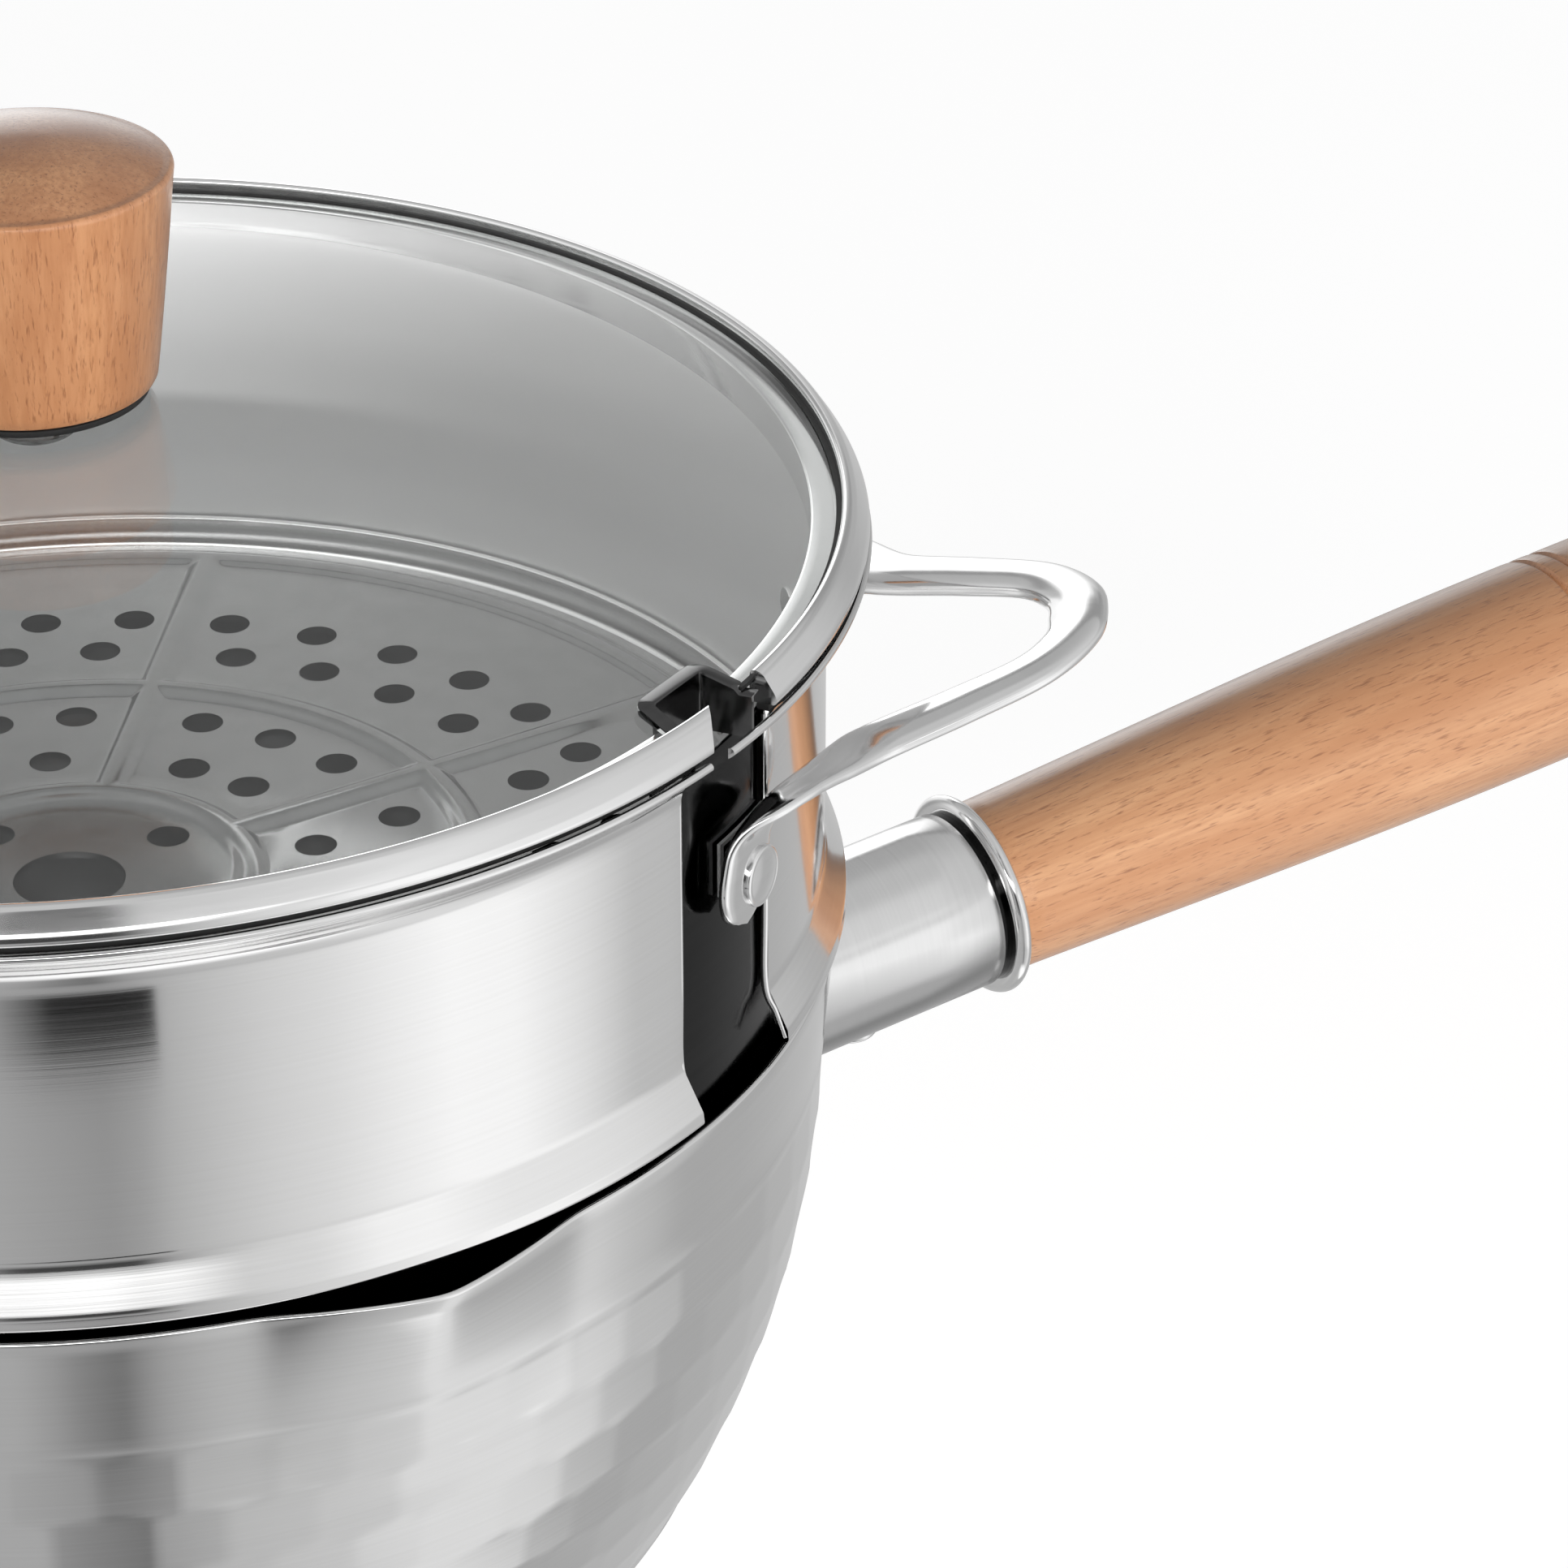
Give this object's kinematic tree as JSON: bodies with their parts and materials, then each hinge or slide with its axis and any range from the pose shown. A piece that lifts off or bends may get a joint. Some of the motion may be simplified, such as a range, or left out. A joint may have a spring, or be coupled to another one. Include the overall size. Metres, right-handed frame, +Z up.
{
  "type": "yukihira pan",
  "caption": "Bowl-shaped steel saucepan with a pouring lip, wooden side handle, lift-off steamer tier with loop handles and a domed glass lid with a wooden knob.",
  "frame": {"origin": "centre of the pot's flat base, on the face that rests on the hob", "axes": "+Z up along the axis of the pot, the steamer and the lid; +X along the wooden handle, away from the pot; the seen spout points to -Y"},
  "size_m": [0.3575, 0.1902, 0.1879],
  "materials": {
    "satin_steel": null,
    "bright_steel": null,
    "dark_steel": null,
    "beech": null,
    "clear_glass": null,
    "brass": null,
    "silicone": null
  },
  "bodies": {
    "pot": {"pot_body": "satin_steel", "handle_socket": "satin_steel", "collar_ring": "satin_steel", "handle_grip": "beech", "handle_screw": "bright_steel"},
    "steamer": {"steamer_shell": "satin_steel", "plate_seat_ring": "satin_steel", "slot_shield": "dark_steel", "loop_handle_right": "bright_steel", "loop_handle_left": "bright_steel", "rivet_right_front": "bright_steel", "rivet_right_rear": "bright_steel", "rivet_left_front": "bright_steel", "rivet_left_rear": "bright_steel"},
    "plate": {"steam_plate": "satin_steel"},
    "lid": {"lid_glass": "clear_glass", "lid_rim": "bright_steel", "notch_liner": "dark_steel", "lid_knob": "beech", "knob_insert": "brass", "knob_screw": "bright_steel", "knob_gasket": "silicone", "knob_washer": "bright_steel"}
  },
  "joints": [
    {"name": "steamer_lift", "type": "slide", "parent": "pot", "child": "steamer", "axis": [0, 0, 1], "range_m": [0, 0.08]},
    {"name": "plate_lift", "type": "slide", "parent": "steamer", "child": "plate", "axis": [0, 0, 1], "range_m": [0, 0.032]},
    {"name": "lid_lift", "type": "slide", "parent": "steamer", "child": "lid", "axis": [0, 0, 1], "range_m": [0, 0.08]}
  ]
}
